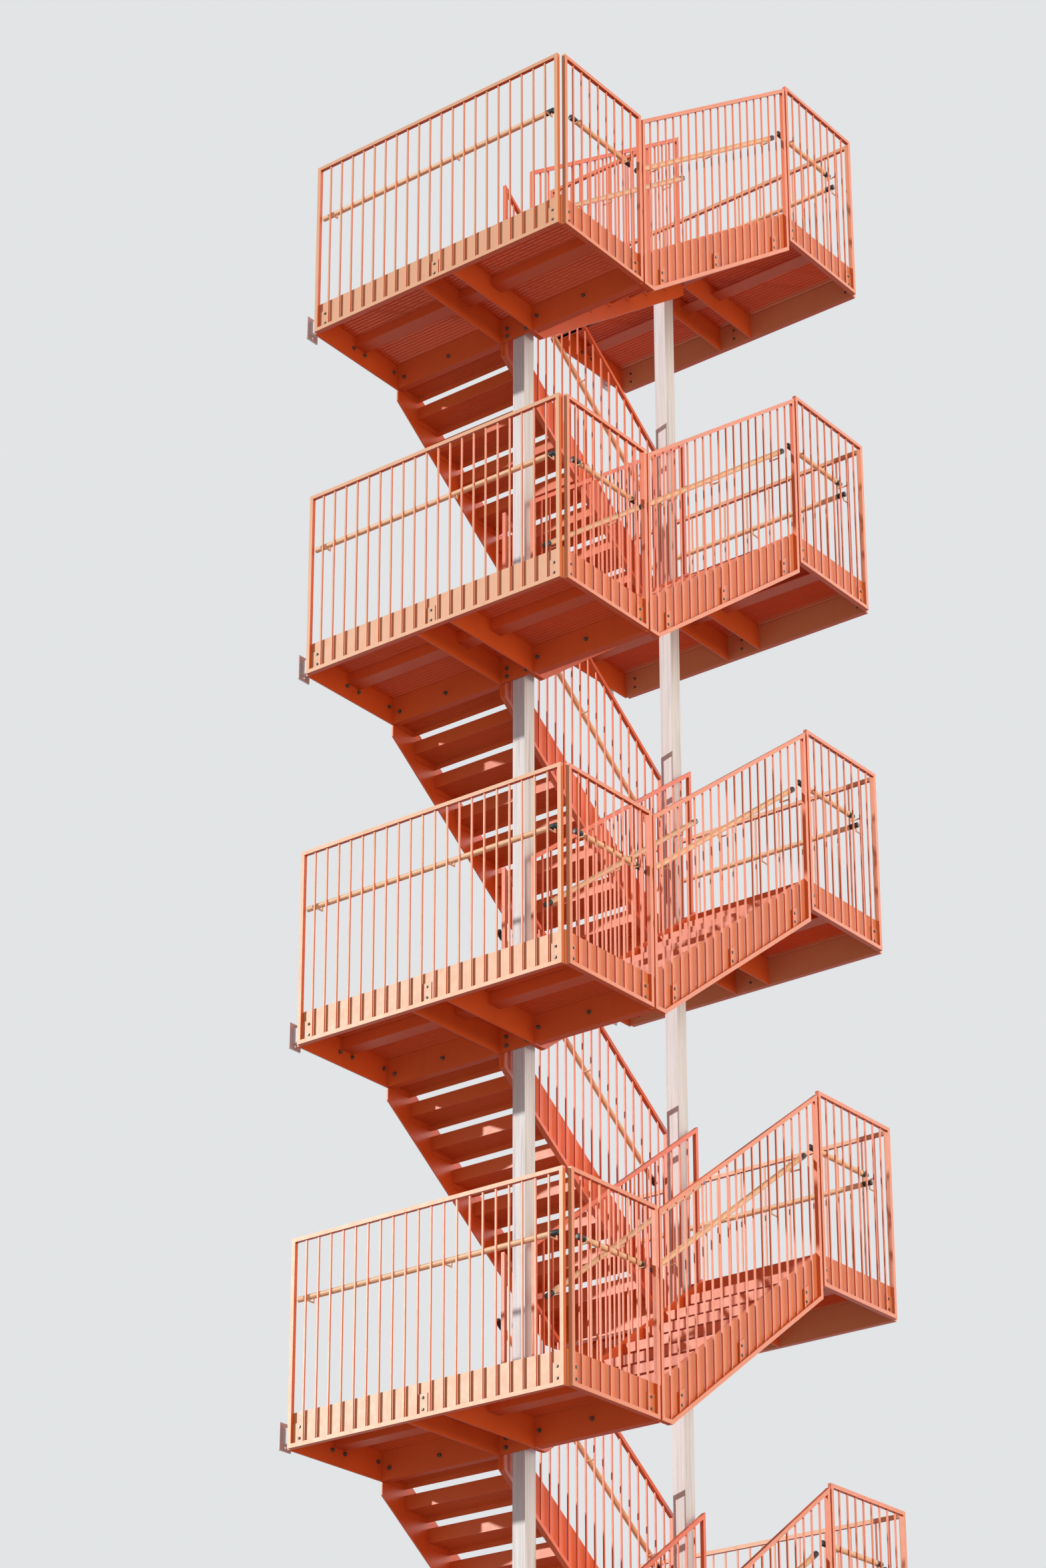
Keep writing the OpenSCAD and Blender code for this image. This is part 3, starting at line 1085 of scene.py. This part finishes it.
@dataclass(frozen=True)
class LandingBolts:
    """Bolts of the landings' guards, frames and column seats.

    A pair is the bolt's place along its plate, and how far it lies under the deck.
    """

    finishes: Finishes
    hardware: Hardware
    guard_seed: int = 11
    frame_seed: int = 12
    front_lugs: tuple[float, ...] = (-1.1125, -0.0186, 1.1145)
    side_lugs: tuple[float, ...] = (-0.9875, -0.1525)
    right_bay: tuple[Pair, ...] = ((0.200, 0.142), (0.652, 0.142))
    left_nut: Pair = (-0.682, 0.160)
    left_head: Pair = (-1.136, 0.170)
    seat_bolts: tuple[float, ...] = (-0.092, 0.092)
    seat_rows: Pair = (0.142, 0.212)
    seat_back: float = -0.060
    beam_bolts: tuple[Pair, ...] = ((-0.126, 0.122), (-0.620, 0.150), (-0.486, 0.150))
    top_lug_in: float = 0.065

    def build(self) -> list[Piece]:
        """Makes the bolts.

        Returns:
            A piece of guard bolts and a piece of frame bolts for each side.
        """
        pieces = []
        for side in Side:
            guard = BoltRun(side.landings + "_guard_bolts", self.finishes, self.guard_seed)
            steel = BoltRun(side.landings + "_frame_bolts", self.finishes, self.frame_seed)
            for number, deck in enumerate(PLAN.decks(side), start=1):
                top = side is Side.REAR and number > PLAN.storeys
                self._lugs(guard, side, deck)
                self._frame(steel, side, deck, top)
                if top:
                    self._top_guard(guard, side, deck)
            pieces += [guard.finish(), steel.finish()]
        return pieces

    def _lugs(self, run: BoltRun, side: Side, deck: float) -> None:
        """Bolts a landing's two guards to its fascias, with nuts inside.

        Args:
            run: The piece.
            side: Which landing.
            deck: Its height.
        """
        head, nut = self.hardware.lug_head, self.hardware.lug_nut
        for up in PLAN.lug_rows:
            z = deck - PLAN.frame + up
            for x in self.front_lugs:
                run.add(head, side, (x, PLAN.front_y + PLAN.lug_face, z), AHEAD)
                run.add(nut, side, (x, PLAN.fascia_y + PLAN.plate, z), BACK)
            for y in self.side_lugs:
                run.add(head, side, (PLAN.edge_x - PLAN.lug_face, y, z), RIGHT)
                run.add(nut, side, (PLAN.fascia_x - PLAN.plate, y, z), LEFT)

    def _frame(self, run: BoltRun, side: Side, deck: float, top: bool) -> None:
        """Bolts a landing's header, left beam and column seat.

        Args:
            run: The piece.
            side: Which landing.
            deck: Its height.
            top: Whether no flight leaves from its left bay.
        """
        head, nut = self.hardware.frame_head, self.hardware.frame_nut
        face = PLAN.header_y
        for x, down in self.right_bay:
            run.add(nut, side, (x, face, deck - down), AHEAD)
            run.add(head, side, (x, PLAN.flight_y, deck - down), BACK)
        if not top:
            for shape, (x, down) in ((nut, self.left_nut), (head, self.left_head)):
                run.add(shape, side, (x, face, deck - down), AHEAD)
        for x in self.seat_bolts:
            for down in self.seat_rows:
                run.add(head, side, (x, face, deck - down), AHEAD)
                run.add(nut, side, (x, self.seat_back, deck - down), BACK)
        for y, down in self.beam_bolts:
            run.add(head, side, (PLAN.inner_x, y, deck - down), RIGHT)

    def _top_guard(self, run: BoltRun, side: Side, deck: float) -> None:
        """Bolts the guard across the top landing's left bay.

        Args:
            run: The piece.
            side: Which landing.
            deck: Its height.
        """
        left, right = PLAN.flight_ends(Side.REAR)
        face = PLAN.flight_y + PLAN.tube - PLAN.lug_face
        for up in PLAN.lug_rows:
            z = deck - PLAN.frame + up
            for x in (left + self.top_lug_in, right - self.top_lug_in):
                run.add(self.hardware.lug_head, side, (x, face, z), BACK)
                run.add(self.hardware.lug_nut, side, (x, PLAN.header_y, z), AHEAD)


@dataclass(frozen=True)
class FlightLugs:
    """Plates that hold the right flights' outer guards to their stringers, with their bolts."""

    finishes: Finishes
    hardware: Hardware
    seed: int = 13
    wide: float = 0.074
    high: float = 0.150
    thick: float = 0.006
    foot: float = 0.032
    rows: Pair = (0.040, 0.110)

    def build(self) -> list[Piece]:
        """Makes the plates and their bolts.

        Returns:
            A piece of each.
        """
        run = BoltRun("flight_guard_bolts", self.finishes, self.seed)
        plates = Gather("flight_guard_lugs", Slot.PAINT, self.finishes.paint)
        sloped, level = self._plate(PLAN.slope), self._plate(0.0)
        for flight in range(PLAN.storeys + 1):
            for number in PLAN.flight_arms:
                along = PLAN.flight_baluster(number) + self.wide / 2
                low = along * PLAN.slope + PLAN.guard_low + self.foot
                on_ground = flight == 0 and low < 0.0
                low = PLAN.tube - self.thick if on_ground else low
                y, z = PLAN.flight_y + along, flight * PLAN.storey + low
                place = Matrix.Translation((PLAN.fascia_x, y, z))
                plates.put(level if on_ground else sloped, place)
                for row in self.rows:
                    spot = (PLAN.fascia_x + self.thick, y, z + row)
                    run.add(self.hardware.lug_head, Side.FRONT, spot, RIGHT)
        return [plates.finish(), run.finish()]

    def _plate(self, slope: float) -> Mesh:
        """Makes a plate whose lower and upper edges follow a slope.

        Args:
            slope: Rise of its edges over their length.

        Returns:
            The shape, its foot's middle at the origin.
        """
        bm = bmesh.new()
        add_block(bm, (self.thick / 2, 0.0, self.high / 2), (self.thick, self.wide, self.high))
        lean = Matrix.Identity(4)
        lean[2][1] = slope
        bmesh.ops.transform(bm, matrix=lean, verts=bm.verts)
        return mesh_of(bm, "flight_lug")


@dataclass(frozen=True)
class BaseAnchors:
    """Anchor nuts of the two columns, and the weld round each foot."""

    finishes: Finishes
    hardware: Hardware
    seed: int = 14
    across: Pair = (-0.080, 0.080)
    rows: Pair = (-0.020, 0.200)
    base: float = 0.020
    half: Pair = (0.055, 0.060)
    weld: float = 0.007
    weld_bevel: float = 0.85

    def build(self) -> list[Piece]:
        """Makes the nuts and the welds.

        Returns:
            A piece of each.
        """
        run = BoltRun("anchor_nuts", self.finishes, self.seed)
        welds = Gather("column_welds", Slot.ZINC, self.finishes.zinc)
        bm = bmesh.new()
        size = (2 * (self.half[0] + self.weld), 2 * (self.half[1] + self.weld), self.weld)
        add_block(bm, (0.0, 0.0, self.weld / 2), size)
        bevel_above(bm, self.weld / 2, self.weld * self.weld_bevel, 2)
        bead = mesh_of(bm, "foot_weld")
        for side in Side:
            for x in self.across:
                for y in self.rows:
                    run.add(self.hardware.anchor_nut, side, (x, y, self.base), UP)
            welds.stamp(bead, (0.0, PLAN.place_y(side, 0.0), self.base), UP)
        return [run.finish(), welds.finish()]


@dataclass(frozen=True)
class RailCaps:
    """Dark plugs on the ends of the handrails: a sleeve back over the rail and a low dome."""

    finishes: Finishes
    radius: float = 0.0222
    sleeve: float = 0.068
    crown: float = 0.006
    crown_bevel: float = 0.8
    front_end_x: float = 1.07236
    side_ends: Pair = (0.2475, 1.0075)
    flight_inset: float = 0.060

    def build(self) -> list[Piece]:
        """Makes the caps.

        Returns:
            A piece for the landings and one for the flights.
        """
        bm = bmesh.new()
        add_prism(bm, 24, (self.radius, self.radius), -self.sleeve, self.sleeve + self.crown)
        bevel_above(bm, 0.0, self.crown * self.crown_bevel, 2)
        shape = mesh_of(bm, "rail_cap")
        landing = Gather("landing_rail_caps", Slot.RAIL, self.finishes.cap)
        flight = Gather("flight_rail_caps", Slot.RAIL, self.finishes.cap)
        for side in Side:
            for deck in PLAN.decks(side):
                self._cap_landing(landing, shape, side, deck + PLAN.rail_up)
        for rail in flight_rails():
            along = Vector((0.0, rail.side.value, PLAN.slope)).normalized()
            flight.stamp(shape, rail.spot(self.flight_inset), -along)
            flight.stamp(shape, rail.spot(PLAN.run - self.flight_inset), along)
        return [landing.finish(), flight.finish()]

    def _cap_landing(self, piece: Gather, shape: Mesh, side: Side, z: float) -> None:
        """Caps the free ends of a landing's two rails.

        Args:
            piece: The piece that the caps go to.
            shape: The cap.
            side: Which landing.
            z: Height of its rails.
        """
        front_rail = PLAN.place_y(side, PLAN.front_y + PLAN.rail_in)
        piece.stamp(shape, (self.front_end_x, front_rail, z), RIGHT)
        for end, sign in zip(self.side_ends, (-1.0, 1.0)):
            y = PLAN.place_y(side, PLAN.front_y + end)
            piece.stamp(shape, (PLAN.edge_x - PLAN.rail_in, y, z), (0.0, sign * side.value, 0.0))


@dataclass(frozen=True)
class ArmWelds:
    """Weld beads where a handrail's arms meet the balusters."""

    finishes: Finishes
    drop: float = 0.050
    reach: float = 0.079
    foot_r: float = 0.0098
    top_r: float = 0.0066
    height: float = 0.004
    front_arms: tuple[int, ...] = (1, 12, 20)
    side_arms: tuple[int, ...] = (2, 8)

    def build(self) -> list[Piece]:
        """Makes the beads.

        Returns:
            A piece for the landings and one for the flights.
        """
        bm = bmesh.new()
        add_prism(bm, 10, (self.foot_r, self.top_r), 0.0, self.height)
        shape = mesh_of(bm, "arm_weld")
        landing = Gather("landing_arm_welds", Slot.PAINT, self.finishes.paint)
        flight = Gather("flight_arm_welds", Slot.PAINT, self.finishes.paint)
        for side in Side:
            for deck in PLAN.decks(side):
                self._weld_landing(landing, shape, side, deck + PLAN.rail_up - self.drop)
        for rail in flight_rails():
            for number in PLAN.flight_arms:
                place = rail.spot(PLAN.flight_baluster(number), self.reach, self.drop)
                flight.stamp(shape, place, (-rail.hand, 0.0, 0.0))
        return [landing.finish(), flight.finish()]

    def _weld_landing(self, piece: Gather, shape: Mesh, side: Side, z: float) -> None:
        """Adds the beads of a landing's two rails.

        Args:
            piece: The piece that the beads go to.
            shape: The bead.
            side: Which landing.
            z: Height of the beads.
        """
        y = PLAN.place_y(side, PLAN.front_y + PLAN.rail_in - self.reach)
        for number in self.front_arms:
            x = -PLAN.edge_x + PLAN.front_first + number * PLAN.front_step
            piece.stamp(shape, (x, y, z), (0.0, side.value, 0.0))
        x = PLAN.edge_x - PLAN.rail_in + self.reach
        for number in self.side_arms:
            y = PLAN.front_y + PLAN.side_first + number * PLAN.side_step
            piece.stamp(shape, (x, PLAN.place_y(side, y), z), LEFT)


def main() -> None:
    """Builds the scene in order."""
    bpy.context.scene.view_settings.view_transform = "Standard"
    Viewpoint().place()
    Studio().build()
    finishes = Finishes()
    finishes.dress_nodes()
    LOG.info("%d packed nodes dressed", len(frame["nodes"]))
    hardware = Hardware()
    for maker in (
        CrossRods(finishes),
        ToePlates(finishes),
        LandingBolts(finishes, hardware),
        FlightLugs(finishes, hardware),
        BaseAnchors(finishes, hardware),
        RailCaps(finishes),
        ArmWelds(finishes),
    ):
        for piece in maker.build():
            LOG.info("%s: %d faces", piece.name, len(piece.data.polygons))


if __name__ == "__main__":
    logging.basicConfig(level=logging.INFO, format="%(name)s: %(message)s")
    main()
